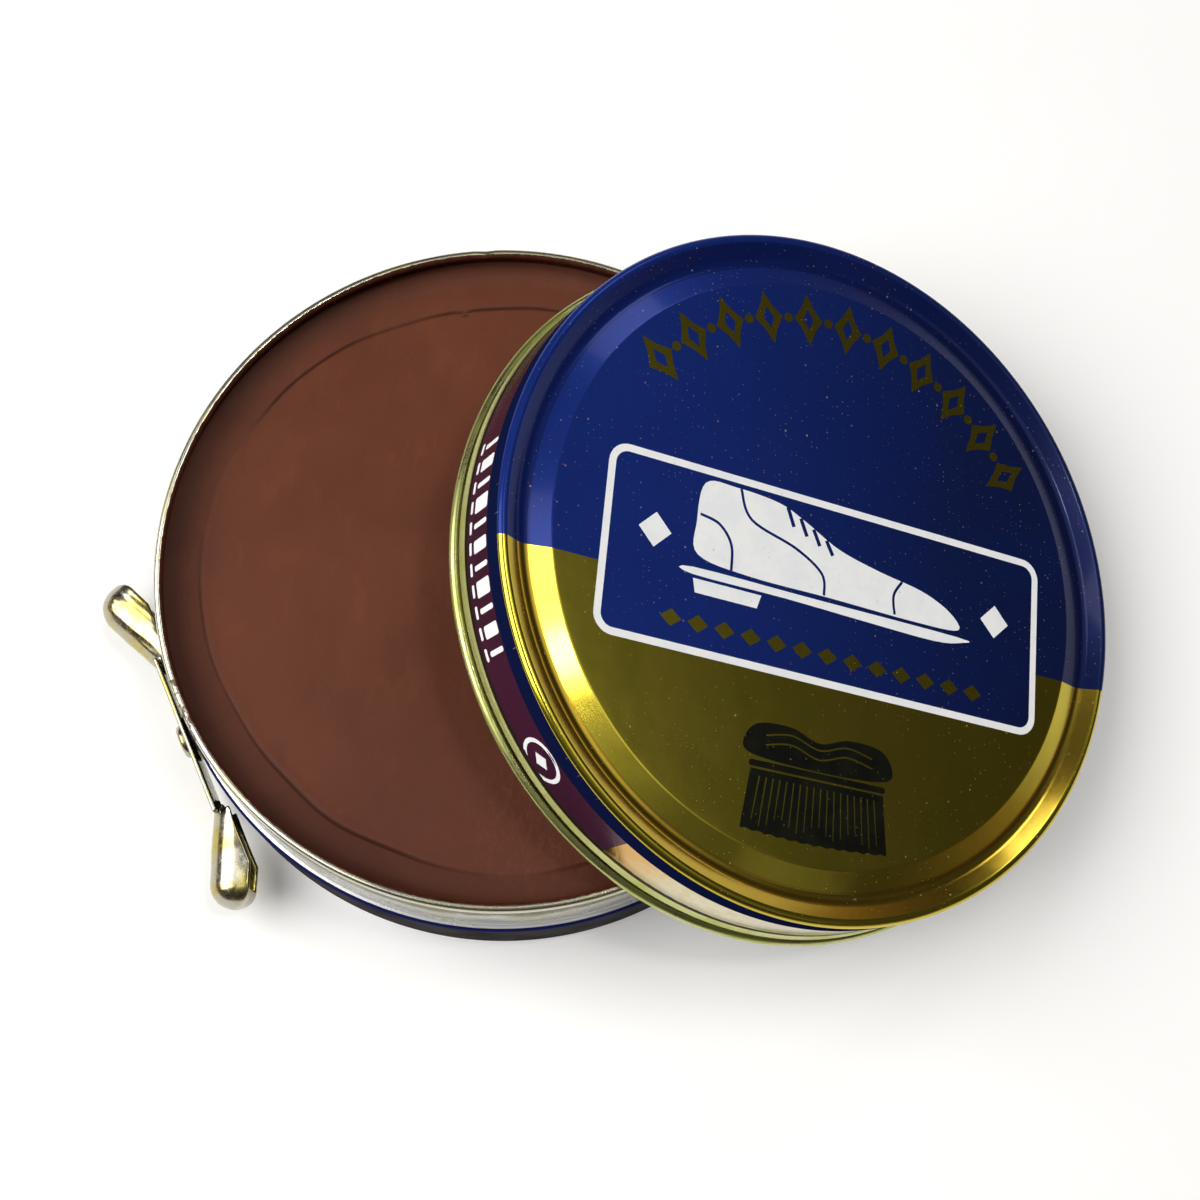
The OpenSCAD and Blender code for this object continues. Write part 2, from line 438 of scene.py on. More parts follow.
def blue_with_painted_falloff(f, cloud):
    """Blue with painted shade that darkens it from the lid's left to its right."""
    x, _, _ = f.split()
    # Painted shade: the blue darkens towards +X.
    tone = f.mix(f.between(x, -22 * MM, 26 * MM), colour(25, 48, 128), colour(17, 29, 74))
    return f.mix(f.between(cloud, 0.35, 0.65, 0, 0.2), tone, colour(12, 34, 108))


def lacquer(f, tone, metallic, rough, specular=0.1, coat=0.12):
    """Printed tinplate under clear lacquer, with dust on top."""
    tone, dots = dusted(f, tone)
    if metallic:
        metallic = f.math("MULTIPLY", metallic, f.math("SUBTRACT", 1.0, f.math("MULTIPLY", dots, 0.8)))
    peel = f.noise(0.9, 2, 0.4)
    return f.finish(
        Base_Color=tone,
        Metallic=metallic,
        Roughness=f.math("ADD", rough, f.math("MULTIPLY", dots, 0.3)),
        Specular_IOR_Level=specular,
        Coat_Weight=coat,
        Coat_Roughness=0.08,
        Coat_IOR=1.5,
        Normal=f.bump(peel, 0.0012, f.bump(f.noise(7, 2), 0.04)),
    )


def lid_finish():
    """The lid's outside: blue over metallic gold, a navy line and a burgundy and gold skirt, with painted
    shade in the groove round the panel and in the crease above the bead.
    """
    f = Finish("lid_lacquer", LID_AT)
    x, y, z = f.split()
    across = f.math("MULTIPLY", x, math.sin(PRINT_TURN))
    q = f.math("SUBTRACT", f.math("MULTIPLY", y, math.cos(PRINT_TURN)), across)
    turn = f.math("ARCTAN2", y, x)
    cloud = f.noise(11, 4)
    gold = gold_tone(f, cloud)
    # Painted shade: the groove between panel and shoulder is darkened, to orange-brown on the gold and
    # deep navy on the blue.
    groove_shade = f.inside(f.radius(), (PANEL_R + 2.0) * MM, (SKIRT_R - 0.95) * MM)
    gold_top = f.mix(f.math("MULTIPLY", groove_shade, 0.4), gold, colour(176, 118, 40))
    blue_top = f.mix(f.math("MULTIPLY", groove_shade, 0.5), blue_with_painted_falloff(f, cloud), colour(6, 14, 62))
    burgundy = f.mix(f.between(cloud, 0.4, 0.65), colour(70, 26, 55), colour(50, 18, 43))
    is_gold = f.math("LESS_THAN", q, GOLD_LINE_Q * MM)
    gold_side = f.inside(turn, *GOLD_SIDE)
    outside = f.math("GREATER_THAN", f.radius(), (SKIRT_R - 0.3) * MM)
    on_line = f.math("MULTIPLY", outside, f.math("LESS_THAN", z, (LID_H - 0.45) * MM))
    on_side = f.math("MULTIPLY", on_line, f.math("LESS_THAN", z, (LID_H - 2.7) * MM))
    top = f.mix(on_line, f.mix(is_gold, blue_top, gold_top), colour(14, 22, 58))
    mottle = f.noise(1.2, 4, 0.6)
    pale_gold = f.mix(f.between(mottle, 0.35, 0.65), colour(212, 203, 172), colour(200, 184, 128))
    orange = f.math("ADD", turn, f.between(mottle, 0.3, 0.7, -0.05, 0.05))
    orange = f.between(orange, GOLD_SIDE[0] + 0.04, GOLD_SIDE[0] + 0.2, 0.9, 0)
    pale_gold = f.mix(orange, pale_gold, colour(204, 150, 44))
    pale_gold = f.mix(f.between(z, 3.2 * MM, 4.8 * MM, 0.5, 0), pale_gold, colour(120, 110, 70))
    side = f.mix(gold_side, burgundy, pale_gold)
    # Painted shade: a dark, dull line along the skirt's foot where it meets the flare.
    crease_shade = f.math("ADD", z, f.between(mottle, 0.3, 0.7, -0.08 * MM, 0.08 * MM))
    crease_shade = f.math("MULTIPLY", outside, f.between(crease_shade, 2.9 * MM, 3.15 * MM, 0.9, 0))
    tone = f.mix(on_side, top, f.mix(crease_shade, side, colour(34, 30, 20)))
    gold_here = f.blend(on_side, f.blend(on_line, is_gold, 0.0), gold_side)
    metallic, rough = f.blend(gold_here, 0.32, 1.0), f.blend(gold_here, 0.24, 0.17)
    dull = f.math("MAXIMUM", f.math("SUBTRACT", on_line, on_side), crease_shade)
    metallic, rough = f.blend(dull, metallic, 0.0), f.blend(dull, rough, 0.5)
    return lacquer(f, tone, metallic, rough, f.blend(dull, 0.1, 0.0), f.blend(dull, 0.12, 0.0))


def lid_edge_finish():
    """The lid's bare inside and bead: yellowed tinplate, with painted shade in the crease above the bead.
    """
    f = Finish("lid_bare_edge", LID_AT)
    _, _, z = f.split()
    cloud = f.noise(6, 4)
    marks = f.noise(0.5, 5, 0.7, f.stretch((1, 1, 4)))
    outside = f.math("GREATER_THAN", f.radius(), (SKIRT_R - SHEET / 2) * MM)
    yellowed = f.mix(f.between(cloud, 0.42, 0.68), colour(190, 191, 126), colour(176, 182, 92))
    clean = f.mix(f.between(cloud, 0.42, 0.68), colour(222, 220, 198), colour(202, 204, 140))
    tone = f.mix(outside, clean, yellowed)
    tone = f.mix(f.between(marks, 0.5, 0.75, 0, 0.35), tone, colour(120, 116, 96))
    # Painted shade: the crease above the bead is darkened.
    crease_shade = f.math("MULTIPLY", outside, f.inside(z, 1.05 * MM, 1.5 * MM))
    tone = f.mix(f.math("MULTIPLY", crease_shade, 0.5), tone, colour(60, 58, 32))
    rough = f.math("ADD", f.between(cloud, 0.3, 0.7, 0.23, 0.38), f.between(marks, 0.4, 0.7, 0, 0.08))
    normal = f.bump(marks, 0.006, f.bump(f.noise(9, 2), 0.06))
    return f.finish(Base_Color=tone, Metallic=1.0, Roughness=rough, Normal=normal)


def ink_finish(name, light, dark, rough):
    """One ink of the print, a little uneven, under the same lacquer and dust."""
    f = Finish(name, LID_AT)
    uneven = f.noise(2.5, 4, 0.6)
    tone = f.mix(f.between(uneven, 0.35, 0.65), colour(*light), colour(*dark))
    return lacquer(f, tone, 0.0, f.between(uneven, 0.3, 0.7, rough - 0.04, rough + 0.04))


# ---------------------------------------------------------------- base


def wall_outline():
    """The lower wall's outside, from the foot up to the step."""
    foot = arc((BODY_R - FOOT_R, FOOT_R), FOOT_R, -90, 0)
    return foot + arc((BODY_R - STEP_R, STEP_Z - STEP_R), STEP_R, 0, 90)


def base_outline():
    """The base's outside, from the middle of its underside to the curled rim, and its inside."""
    near, far = FOOT_RING
    ring_top = [(near + FOOT_RING_SLOPE, FOOT_RING_RISE), (far - FOOT_RING_SLOPE, FOOT_RING_RISE)]
    outer = [(0, 0), (near, 0)] + ring_top + [(far, 0)] + wall_outline()
    outer += arc((NECK_R + STEP_FILLET, STEP_Z + STEP_FILLET), STEP_FILLET, 270, 180, 6)
    outer += [(NECK_R, z) for z in np.linspace(STEP_Z + 1, BASE_H - 1.2, 8)]
    outer += arc((NECK_R - CURL_R, BASE_H - CURL_R), CURL_R, 0, 270, 30)
    inner = beside(outer, SHEET)
    return outer, inner


def uneven_rim(radius, height, turn):
    """The rim is a touch out of round, with one small dent."""
    near_top = np.clip((height - STEP_Z - 1) / (BASE_H - STEP_Z - 1), 0, 1)
    radius = radius - near_top * (0.02 + waves(turn, SEED, 2, 5, 0.012))
    dent_turn, dent_width, dent_drop = math.radians(96), 0.02, 0.6
    dent = np.exp(-(((turn - dent_turn) / dent_width) ** 2))
    dent = dent * np.clip((height - BASE_H + dent_drop) / dent_drop, 0, 1)
    return radius - 0.12 * dent, height - 0.1 * dent


base_outer, base_inner = base_outline()
base, base_rows = spin("tin_base", base_outer + base_inner[::-1], reshape=uneven_rim)
base.data.materials.append(base_finish())
base.data.materials.append(base_print_and_shade_finish())
# The lower wall's rows take the near-black print, which also carries painted shade.
printed = [r > NECK_R + 0.4 and 0.5 < z < STEP_Z - 0.05 for r, z in base_outer]
printed += [False] * len(base_inner)
paint_rows(base, base_rows, [int(row) for row in printed])
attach(base, "tin")
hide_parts("base_pan")

# ---------------------------------------------------------------- polish


def wax_outline():
    """The cake's underside and wall just inside the base, then its top, finest at the shrink line."""
    under = beside([(0, 0), (FOOT_RING[1], 0)] + wall_outline(), SHEET + WAX_GAP)
    under[:2] = [(0, SHEET + 0.5), (24, SHEET + 0.5)]
    top = [(WALL_IN, z) for z in (STEP_Z + 0.6, 13, 15, FILL_Z + WAX_CLIMB)]
    top += [(r, FILL_Z) for r in np.linspace(WALL_IN - 0.05, SHRINK_R + 1.5, 22)]
    top += [(r, FILL_Z) for r in np.linspace(SHRINK_R + 1.44, SHRINK_R - 1.44, 48)]
    top += [(r, FILL_Z) for r in np.linspace(SHRINK_R - 1.6, 0.4, 110)]
    return under + top + [(0, FILL_Z)]


def lumps(x, y, seed, size, reach):
    """A smooth random surface from seeded plane waves of about size millimetres."""
    draw = np.random.default_rng(seed)
    total = np.zeros_like(x)
    for _ in range(24):
        heading = draw.uniform(0, 2 * math.pi)
        length = size * draw.uniform(0.6, 1.8)
        phase = draw.uniform(0, 2 * math.pi)
        total += np.sin(2 * math.pi * (x * math.cos(heading) + y * math.sin(heading)) / length + phase)
    return reach * total / math.sqrt(24)


def shrink_line(turn):
    """Radius of the line where the wax shrank away as it set, and how deep it is there."""
    radius = SHRINK_R + waves(turn, SEED + 1, 1, 3, 0.28) + waves(turn, SEED + 5, 4, 19, 0.14)
    nick = np.exp(-(((turn - math.radians(101)) / 0.014) ** 2))
    depth = np.clip(0.6 + waves(turn, SEED + 2, 2, 9, 0.55), 0.12, 1)
    return radius - 0.5 * nick, depth


def wax_surface(radius, height, turn):
    """Raises the flat top into the climbing edge, the shrink line and a faintly uneven middle."""
    top = np.abs(height - FILL_Z) < 1e-6
    x, y = radius * np.cos(turn), radius * np.sin(turn)
    line, depth = shrink_line(turn)
    past = radius - line
    climb = np.clip(past / (WALL_IN - line), 0, 1)
    rise = WAX_CLIMB * climb**2.4 + 0.07 * np.sin(math.pi * np.clip(past / 2.4, 0, 1))
    crease = -0.12 * depth * np.exp(-((past / 0.13) ** 2))
    lip = 0.035 * depth * np.exp(-(((past + 0.45) / 0.4) ** 2))
    middle = lumps(x, y, SEED + 3, 16, 0.035) + lumps(x, y, SEED + 4, 4, 0.008)
    shape = FILL_Z + rise + crease + lip + middle
    return radius, np.where(top, shape, height)


def mark_wax(piece):
    """Marks, for the wax's material, how much painted shade falls in the shrink line and on the ring
    outside it.
    """
    points = np.empty(len(piece.data.vertices) * 3)
    piece.data.vertices.foreach_get("co", points)
    x, y, _ = points.reshape(-1, 3).T / MM
    turn = np.arctan2(y, x) % (2 * math.pi)
    line, depth = shrink_line(turn)
    past = np.hypot(x, y) - line
    # Painted shade: most at the front of the tin, least at the back.
    shade_round = np.clip(0.55 - 0.55 * np.sin(turn), 0.12, 1)
    # Painted shade in the crease of the shrink line.
    mark(piece, "crease", depth * np.exp(-((past / 0.14) ** 2)))
    mark(piece, "annulus_shade", shade_round * np.clip(past / 0.2, 0, 1) * (0.75 + 0.25 * np.clip(past / 3.5, 0, 1)))


wax, _ = spin("polish_cake", wax_outline(), reshape=wax_surface)
mark_wax(wax)
wax.data.materials.append(wax_finish())
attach(wax, "tin")
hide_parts("polish")

# ---------------------------------------------------------------- lid


def lid_frame():
    """The lid's own frame in the CAD model: its origin under the bead and its axis through the panel."""
    along = Vector((math.cos(LEAN), 0, -math.sin(LEAN)))
    axis = Vector((math.sin(LEAN), 0, math.cos(LEAN)))
    turned = Matrix((along, Vector((0, 1, 0)), axis)).transposed()
    points = np.array([v.co for v in frame["nodes"]["lid"].data.vertices]) @ np.array(turned)
    middle = (points.min(0) + points.max(0)) / 2
    middle[2] = points[:, 2].min()
    return Matrix.Translation(turned @ Vector(middle)) @ turned.to_4x4()


LID_AT = lid_frame()


def lid_outline():
    """The lid's printed outside, its bare flare and bead, and the inside of its sheet."""
    outer = [(0, PANEL_Z)] + [(r, PANEL_Z) for r in np.linspace(2, PANEL_R - 0.6, 14)]
    outer += arc((PANEL_R, PANEL_Z - PANEL_EDGE_R), PANEL_EDGE_R, 90, 72, 8)
    outer += arc((PANEL_R + GROOVE_OUT, LID_H + GROOVE_UP), GROOVE_R, 252, 303, 16)
    outer += arc((SKIRT_R - SHOULDER_R, LID_H - SHOULDER_R), SHOULDER_R, 123, 0, 18)
    outer += [(SKIRT_R, z) for z in (8.6, 8, 6.5, 5, 3.6)]
    bead = arc((BEAD_RING_R, BEAD_R), BEAD_R - SHEET, 180, 470, 30)
    flare = [(0.08, 2.45), (0.18, 2.1), (0.29, 1.87), (0.34, 1.7), (0.26, 1.55), (0.1, 1.42), (0.02, 1.2)]
    inner = beside(outer + bead, -SHEET)
    return outer + [(SKIRT_R + 0.02, 2.9)], [(SKIRT_R + r, z) for r, z in flare] + bead, inner


lid_printed, lid_bare, lid_inner = lid_outline()
lid, lid_rows = spin("tin_lid", lid_printed + lid_bare + lid_inner[::-1])
lid_slots = [0] * len(lid_printed) + [1] * (len(lid_bare) + len(lid_inner))
lid.data.materials.append(lid_finish())
lid.data.materials.append(lid_edge_finish())
paint_rows(lid, lid_rows, lid_slots)
lid.data.transform(LID_AT)
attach(lid, "lid")
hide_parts("lid")

# ---------------------------------------------------------------- print on the lid


def smooth(points, steps=6, closed=True):
    """A smooth curve through the points (Catmull-Rom)."""
    points = np.array(points, float)
    count = len(points)
    path = []
    for i in range(count if closed else count - 1):
        pick = [(i - 1) % count, i, (i + 1) % count, (i + 2) % count]
        if not closed:
            pick = [max(i - 1, 0), i, i + 1, min(i + 2, count - 1)]
        a, b, c, d = points[pick]
        for t in np.linspace(0, 1, steps, endpoint=False):
            square, cube = 2 * a - 5 * b + 4 * c - d, 3 * b - a - 3 * c + d
            path.append(0.5 * (2 * b + (c - a) * t + square * t**2 + cube * t**3))
    return path if closed else path + [points[-1]]


def moved(shape, p, q, turn=0.0):
    """An outline turned and then moved to (p, q)."""
    c, s = math.cos(turn), math.sin(turn)
    return [(p + c * a - s * b, q + s * a + c * b) for a, b in shape]


def rounded_box(left, low, right, high, corner):
    """The outline of a box with round corners."""
    return (
        arc((right - corner, high - corner), corner, 0, 90, 8)
        + arc((left + corner, high - corner), corner, 90, 180, 8)
        + arc((left + corner, low + corner), corner, 180, 270, 8)
        + arc((right - corner, low + corner), corner, 270, 360, 8)
    )


def stroke(points, width, taper=0.0):
    """The outline of a line of a given width, which may taper to its end."""
    half = width / 2 * (1 - taper * np.linspace(0, 1, len(points)))
    path = np.array(points, float)
    ahead = np.vstack([path[1:], path[-1:]]) - np.vstack([path[:1], path[:-1]])
    side = np.stack([-ahead[:, 1], ahead[:, 0]], 1) / np.linalg.norm(ahead, axis=1)[:, None]
    side = side * half[:, None]
    return [tuple(p) for p in np.vstack([path + side, (path - side)[::-1]])]


def lozenge(width, height, waist=0.3):
    """A four-pointed star, or a plain diamond when waist is 0.5."""
    tips = [(width / 2, 0), (0, height / 2), (-width / 2, 0), (0, -height / 2)]
    inner = [(waist * width / 2, waist * height / 2), (-waist * width / 2, waist * height / 2)]
    inner += [(-waist * width / 2, -waist * height / 2), (waist * width / 2, -waist * height / 2)]
    return [point for pair in zip(tips, inner) for point in pair]


def on_panel(p, q, lift):
    """A point of the flat print, in the lid's frame."""
    c, s = math.cos(PRINT_TURN), math.sin(PRINT_TURN)
    return (c * p - s * q, s * p + c * q, PANEL_Z + lift)


def on_skirt(along, z, lift):
    """A point of the print round the skirt, in the lid's frame: distance round it, then height."""
    radius = SKIRT_R + lift
    turn = along / SKIRT_R
    return (radius * math.cos(turn), radius * math.sin(turn), z)


def decal(name, shapes, ink, place=on_panel, layer=0):
    """Thin closed films of one ink. Each shape is an outline and any holes in it."""
    vertices, faces = [], []
    low, high = -0.01, 0.012 + 0.008 * layer
    for shape in shapes:
        first = len(vertices)
        count = sum(len(loop) for loop in shape)
        for lift in (low, high):
            vertices += [place(a, b, lift) for loop in shape for a, b in loop]
        flat = [[Vector((a, b, 0)) for a, b in loop] for loop in shape]
        for triangle in tessellate_polygon(flat):
            faces.append([first + count + i for i in triangle])
            faces.append([first + i for i in reversed(triangle)])
        start = first
        for loop in shape:
            for i in range(len(loop)):
                j = (i + 1) % len(loop)
                faces.append([start + i, start + j, start + j + count, start + i + count])
            start += len(loop)
    piece = mesh_object(name, vertices, faces, smooth=False)
    drop_loose(piece)
    piece.data.materials.append(ink)
    piece.data.transform(LID_AT)
    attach(piece, "lid")
    return piece


def shoe():
    """A lace-up shoe seen from the side, toe to the right: upper, sole and heel."""
    upper = [(-14.6, -2.6), (-15, 0.6), (-14.4, 4.6), (-11, 5), (-6.4, 4.7), (-3.4, 3.6), (0.6, 1.7)]
    upper += [(5.4, 0.6), (10.4, -0.2), (13.8, -1.6), (14.8, -3.2), (9.6, -3.5), (0, -3.4), (-9, -3.4)]
    sole = [(-15, -3.9), (-2, -3.9), (14.9, -3.9), (15.2, -4.4), (12, -4.9), (4, -4.8), (-5, -4.6)]
    sole += [(-15, -4.6)]
    heel = [(-14.9, -4.95), (-7.6, -4.95), (-8.0, -6.3), (-14.6, -6.3)]
    return smooth(upper), smooth(sole, 4), heel


def shoe_seams():
    """Thin seams and laces that lie over the shoe."""
    seams = [
        smooth([(8.0, 0.2), (7.1, -1.4), (7.3, -3.3)], 8, False),
        smooth([(-10.6, 5.0), (-9.2, 2.2), (-4.2, 0.6), (-1.2, -1.2), (-0.8, -3.3)], 8, False),
        smooth([(-14.7, 1.4), (-12.6, 0.9), (-11.2, -0.8), (-11, -3.3)], 8, False),
    ]
    laces = [[(-5.4 + 1.5 * i, 4.5 - 0.75 * i), (-4.6 + 1.5 * i, 2.7 - 0.6 * i)] for i in range(4)]
    return [[stroke(seam, 0.28)] for seam in seams] + [[stroke(lace, 0.4)] for lace in laces]


def brush(p, q):
    """A shoe brush: a waisted wooden back over a block of bristles parted by fine gaps."""
    back = [(-8, 3), (-7, 5.4), (-3.2, 5.8), (0, 4.9), (3.2, 5.8), (7, 5.4), (8, 3), (4, 2.3), (-4, 2.3)]
    line = [(-5.8, 4.1), (-3, 4.6), (0, 3.8), (3, 4.6), (5.8, 4.1)]
    grain = [stroke(smooth([(a, b + lift) for a, b in line], 6, False), 0.16) for lift in (-0.45, 0.45)]
    bristles = [(-7.2, 1.3), (7.2, 1.3)]
    for i, a in enumerate(np.linspace(7.9, -7.9, 25)):
        bristles.append((a, -4.3 + 0.16 * (i % 2) - 0.4 * math.sin(math.pi * i / 24)))
    gaps = []
    for i, a in enumerate(np.linspace(-0.94, 0.94, 18)):
        gaps.append(stroke([(6.6 * a, 0.7), (7.2 * a, -3.4 + 0.5 * math.sin(5 * i))], 0.15, 0.5))
    shapes = [[smooth(back, 8)] + grain, [rounded_box(-7.4, 1.5, 7.4, 2.1, 0.25)], [bristles] + gaps]
    return [[moved(loop, p, q) for loop in shape] for shape in shapes]


def arc_of_ornaments():
    """Open diamonds and dots that follow the panel's edge across its top."""
    shapes = []
    for i, degrees in enumerate(np.linspace(141, 36, 21)):
        turn = math.radians(degrees)
        if i % 2:
            shape = [arc((0, 0), 0.5, 0, 345, 15)]
        else:
            shape = [lozenge(3.3, 5.5, 0.44), lozenge(1.2, 2.3, 0.5)]
        p, q = 25.4 * math.cos(turn), 25.4 * math.sin(turn)
        shapes.append([moved(loop, p, q, turn - math.pi / 2) for loop in shape])
    return shapes


def print_lid():
    """The lid's print: a framed shoe, gold ornaments and a brush, with dashes round the skirt."""
    white = ink_finish("ink_white", (252, 253, 253), (244, 247, 250), rough=0.35)
    black = ink_finish("ink_black", (14, 16, 12), (22, 22, 14), rough=0.3)
    f = Finish("ink_blue", LID_AT)
    blue = lacquer(f, blue_with_painted_falloff(f, f.noise(11, 4)), 0.32, 0.24)
    f = Finish("ink_gold", LID_AT)
    gold = lacquer(f, gold_tone(f, f.noise(11, 4)), 1.0, 0.17)
    left, low, right, high, border = -23.9, -11.9, 25.1, 6.5, 0.72
    outer = rounded_box(left, low, right, high, 2.0)
    hole = rounded_box(left + border, low + border, right - border, high - border, 2.0 - border)
    decal("print_frame", [[outer, hole]], white, layer=1)
    decal("print_field", [[outer]], blue)
    upper, sole, heel = (moved(part, 0.6, 0.3) for part in shoe())
    side_marks = [[moved(lozenge(3.4, 3.4, 0.5), p, -1.0)] for p in (-18.6, 19.8)]
    decal("print_shoe", [[upper], [sole], [heel]] + side_marks, white, layer=1)
    decal("print_shoe_seams", [[moved(line[0], 0.6, 0.3)] for line in shoe_seams()], blue, layer=2)
    row = [[moved(lozenge(2.2, 1.7, 0.5), -16.2 + 2.8 * i, -8.9)] for i in range(13)]
    decal("print_row", row, gold, layer=1)
    decal("print_ornaments", arc_of_ornaments(), gold)
    decal("print_brush", brush(0.4, -22.3), black)
    marks = []
    for i in range(11):
        along = SKIRT_R * math.radians(168 + 3.3 * i)
        size = (0.5, 1.2, 0.5, 1.5)[i % 4]
        marks.append([moved(rounded_box(-size / 2, -1.4, size / 2, 1.4, 0.24), along, 5.9)])
        marks.append([moved(rounded_box(-0.7, -0.25, 0.5, 0.25, 0.2), along, 3.7)])
    centre = SKIRT_R * math.radians(218.5)
    marks.append([moved(arc((0, 0), radius, 0, 352, 44), centre, 4.9) for radius in (2.4, 1.95)])
    marks.append([moved(lozenge(1.9, 1.9, 0.5), centre, 4.9)])
    decal("print_skirt_marks", marks, white, place=on_skirt)


print_lid()

# ---------------------------------------------------------------- key and rivet


def key_finish():
    """Bright stamped steel with yellow stains and darker streaks."""
    f = Finish("key_steel")
    cloud = f.noise(3.5, 4)
    streaks = f.noise(0.8, 4, 0.65, distortion=0.8)
    tone = f.mix(f.between(cloud, 0.42, 0.62), colour(178, 174, 158), colour(184, 170, 98))
    tone = f.mix(f.between(streaks, 0.55, 0.8, 0, 0.3), tone, colour(92, 80, 46))
    rough = f.between(streaks, 0.3, 0.7, 0.16, 0.3)
    normal = f.bump(f.noise(1.2, 3, 0.6), 0.006)
    return f.finish(Base_Color=tone, Metallic=1.0, Roughness=rough, Normal=normal)


def in_metres_from_key(points):
    """Points in the key's own frame: along its wings, out of the base, and up."""
    along = Vector((0, 0, 1)).cross(KEY_OUT)
    axes = np.array([along, KEY_OUT, (0, 0, 1)])
    return (points - np.array(KEY_AT)) @ axes.T


def stamped_key():
    """The key as it leaves the press: the CAD form with rounded edges and crinkled wings."""
    mesh = frame["nodes"]["opener_key"].data.copy()
    mesh.materials.clear()
    mesh.transform(Matrix.Scale(1 / MM, 4))
    piece = bpy.data.objects.new("stamped_key", mesh)
    bpy.context.scene.collection.objects.link(piece)
    even = piece.modifiers.new("even", "REMESH")
    even.mode = "VOXEL"
    even.voxel_size = 0.1
    soften = piece.modifiers.new("soften", "SMOOTH")
    soften.factor = 0.5
    soften.iterations = 12
    shaped = bpy.data.meshes.new_from_object(piece.evaluated_get(bpy.context.evaluated_depsgraph_get()))
    piece.modifiers.clear()
    piece.data = shaped
    shaped.transform(Matrix.Scale(MM, 4))
    count = len(shaped.vertices)
    points, normals = np.empty(count * 3), np.empty(count * 3)
    shaped.vertices.foreach_get("co", points)
    shaped.vertices.foreach_get("normal", normals)
    points, normals = points.reshape(-1, 3), normals.reshape(-1, 3)
    along, out, up = in_metres_from_key(points).T / MM
    wing = np.clip((np.abs(along) - 8) / 2, 0, 1)
    creases = lumps(0.3 * along, 2.2 * out - 0.9 * np.abs(along), SEED + 12, 1.5, 0.02)
    dimples = lumps(along, out + up, SEED + 11, 2.4, 0.012) + lumps(along, up, SEED + 13, 6, 0.03)
    ripple = np.clip(creases * (along < 0) + dimples, -0.07, 0.07)
    points += normals * (wing * ripple * MM)[:, None]
    shaped.vertices.foreach_set("co", points.ravel())
    shaped.polygons.foreach_set("use_smooth", [True] * len(shaped.polygons))
    shaped.update()
    shaped.materials.append(key_finish())
    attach(piece, "key")
    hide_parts("opener_key")


def clenched_rivet():
    """The rivet, spun about the key's axis: a dimpled head outside and a clenched head inside."""
    cad = np.array([v.co for v in frame["nodes"]["key_rivet"].data.vertices])
    _, out, _ = in_metres_from_key(cad).T / MM
    back, front = out.min(), out.max()
    outline = [(0, back)] + arc((1.5, back + 0.2), 0.2, 270, 360, 5)
    outline += [(1.68, back + 0.5), (1, back + 0.5), (1, front - 0.65), (1.7, front - 0.65)]
    outline += arc((1.3, front - 0.45), 0.45, 0, 80, 8) + arc((0, front), 0.55, 0, -90, 8)
    piece, _ = spin("clenched_rivet", outline, steps=64)
    piece.data.materials.append(key_finish())
    turned = KEY_OUT.to_track_quat("Z", "Y").to_matrix().to_4x4()
    piece.matrix_world = Matrix.Translation(KEY_AT) @ turned
    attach(piece, "tin")
    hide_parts("key_rivet")


stamped_key()
clenched_rivet()

# ---------------------------------------------------------------- stage, light and camera


# The floor's own light near the tin, and how much more the camera sees of it far off
FLOOR_GLOW = 0.15
FAR_GLOW = 0.55
FAR_FROM, FAR_TO = 150 * MM, 1500 * MM
FLOOR_HALF = 2000
FLOOR_DROP = 0.02


def add_floor():
    """A plain pale floor just under the tin. A little light of its own keeps it white."""
    f = Finish("floor")
    tone = f.mix(f.between(f.noise(120, 3), 0.3, 0.7), grey(0.87), grey(0.9))
    signs = [(-1, -1), (1, -1), (1, 1), (-1, 1)]
    corners = [(FLOOR_HALF * a, FLOOR_HALF * b, 0) for a, b in signs]
    floor = mesh_object("floor", corners, [(0, 1, 2, 3)])
    seen = f.add("LightPath").outputs["Is Camera Ray"]
    far = f.math("MULTIPLY", seen, f.between(f.radius(), FAR_FROM, FAR_TO, 0, FAR_GLOW))
    glow = f.math("ADD", far, FLOOR_GLOW)
    look = f.finish(Base_Color=tone, Roughness=0.9, Emission_Color=grey(1.0), Emission_Strength=glow)
    floor.data.materials.append(look)
    floor.location.z = -FLOOR_DROP * MM


def softbox(name, aim, direction, distance, size, power, tint=(1, 1, 1)):
    """A square area light that faces aim from a direction."""
    light = bpy.data.lights.new(name, "AREA")
    light.shape = "SQUARE"
    light.size = size
    light.energy = power
    light.color = tint
    lamp = bpy.data.objects.new(name, light)
    away = Vector(direction).normalized()
    lamp.location = Vector(aim) + away * distance
    lamp.rotation_euler = away.to_track_quat("Z", "Y").to_euler()
    bpy.context.scene.collection.objects.link(lamp)


# Brightness of the room by height, from the horizon to straight up
ROOM = [
    (0.0, (0.34, 0.22, 0.12)),
    (1.0, 0.22),
    (0.12, (0.15, 0.11, 0.075)),
    (0.3, (0.045, 0.038, 0.034)),
    (0.5, 0.032),
    (0.75, 0.09),
]
# Brightness of the glow, from far off its middle to its middle
GLOW_TOWARD = (0.52, 0.1, 0.85)
GLOW = [(0.0, 0.0), (1.0, 1.0), (0.86, 0.01), (0.91, 0.03), (0.94, 0.08), (0.962, 0.3), (0.985, 0.85)]
BACKDROP = 0.8


def world_ramp(nodes, links, value, stops):
    """A ramp of greys or colours over a value, as (position, colour) stops."""
    node = nodes.new("ShaderNodeValToRGB")
    for i, (at, tone) in enumerate(stops):
        stop = node.color_ramp.elements[i] if i < 2 else node.color_ramp.elements.new(at)
        stop.position = at
        stop.color = (*tone, 1) if isinstance(tone, tuple) else (tone, tone, tone, 1)
    links.new(value, node.inputs[0])
    return node.outputs[0]


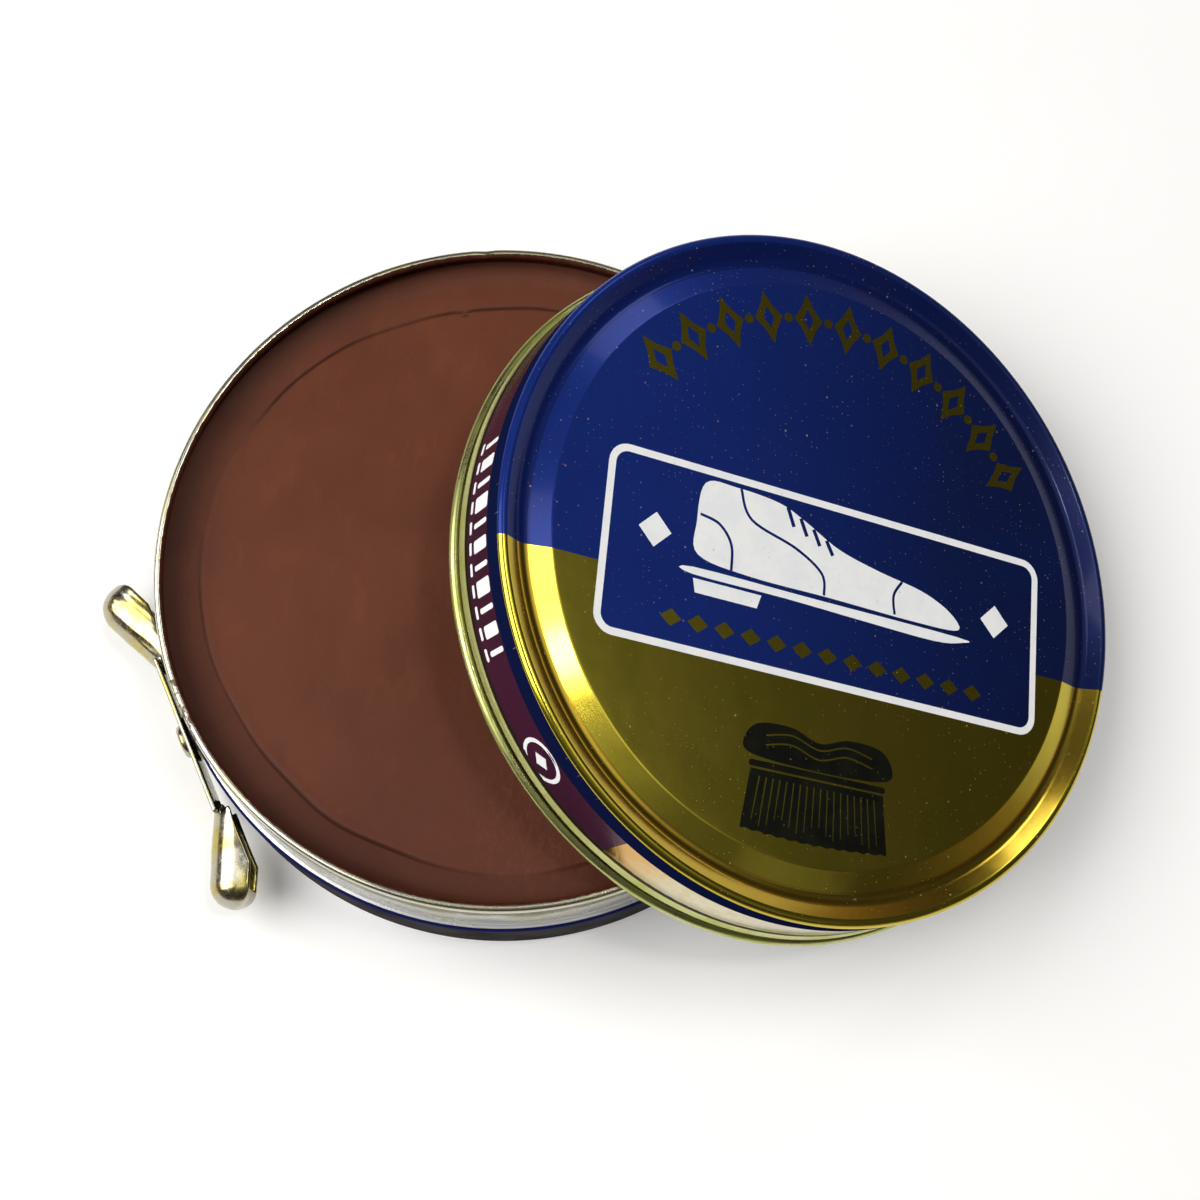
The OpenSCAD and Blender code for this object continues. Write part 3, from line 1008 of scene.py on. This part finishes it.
def add_light():
    """A window, small lamps, and a dim room with a soft glow overhead, seen only in reflections."""
    world = bpy.data.worlds.new("studio")
    world.use_nodes = True
    nodes, links = world.node_tree.nodes, world.node_tree.links
    facing = nodes.new("ShaderNodeTexCoord").outputs["Generated"]
    level = nodes.new("ShaderNodeSeparateXYZ")
    links.new(facing, level.inputs[0])
    toward = nodes.new("ShaderNodeVectorMath")
    toward.operation = "DOT_PRODUCT"
    toward.inputs[1].default_value = Vector(GLOW_TOWARD).normalized()
    links.new(facing, toward.inputs[0])
    room = world_ramp(nodes, links, level.outputs[2], ROOM)
    glow = world_ramp(nodes, links, toward.outputs["Value"], GLOW)
    both = nodes.new("ShaderNodeMix")
    both.data_type = "RGBA"
    both.blend_type = "ADD"
    both.inputs[0].default_value = 1
    links.new(room, both.inputs[6])
    links.new(glow, both.inputs[7])
    seen = nodes.new("ShaderNodeMix")
    seen.data_type = "RGBA"
    links.new(nodes.new("ShaderNodeLightPath").outputs["Is Camera Ray"], seen.inputs[0])
    links.new(both.outputs[2], seen.inputs[6])
    seen.inputs[7].default_value = grey(BACKDROP)
    links.new(seen.outputs[2], nodes["Background"].inputs["Color"])
    bpy.context.scene.world = world
    aim = (0.01, 0, 0.01)
    softbox("window", aim, (-0.64, -0.05, 0.76), 0.6, 0.5, 3.8, (1, 0.99, 0.97))
    softbox("lamp", aim, (0.27, 0.0, 0.957), 0.9, 0.085, 0.85, (1, 0.98, 0.92))
    softbox("lamp_glow", aim, (0.22, 0.22, 0.95), 0.9, 0.22, 0.7, (1, 0.98, 0.92))
    softbox("back_right", aim, (0.4, 0.7, 0.6), 1.2, 0.27, 1.0)
    softbox("right_low", aim, (0.74, -0.38, 0.55), 1.0, 0.25, 0.03)


def add_camera():
    """Looks down at the open tin from the front, close enough for strong perspective."""
    aim = Vector((9.66, -0.31, 10)) * MM
    azimuth, elevation, roll = (math.radians(a) for a in (4.38, 73.25, 6.58))
    distance = 179.87 * MM
    level_back = Vector((-math.sin(azimuth), -math.cos(azimuth), 0))
    back = math.cos(elevation) * level_back + math.sin(elevation) * Vector((0, 0, 1))
    level = Vector((0, 0, 1)).cross(back).normalized()
    upright = back.cross(level)
    right = math.cos(roll) * level + math.sin(roll) * upright
    up = back.cross(right)
    data = bpy.data.cameras.new("camera")
    data.sensor_width = 36
    data.lens = 52.72
    data.clip_start = 0.01
    camera = bpy.data.objects.new("camera", data)
    turned = Matrix((right, up, back)).transposed().to_4x4()
    camera.matrix_world = Matrix.Translation(aim + back * distance) @ turned
    bpy.context.scene.collection.objects.link(camera)
    bpy.context.scene.camera = camera


add_floor()
add_light()
add_camera()
bpy.context.scene.view_settings.view_transform = "Standard"
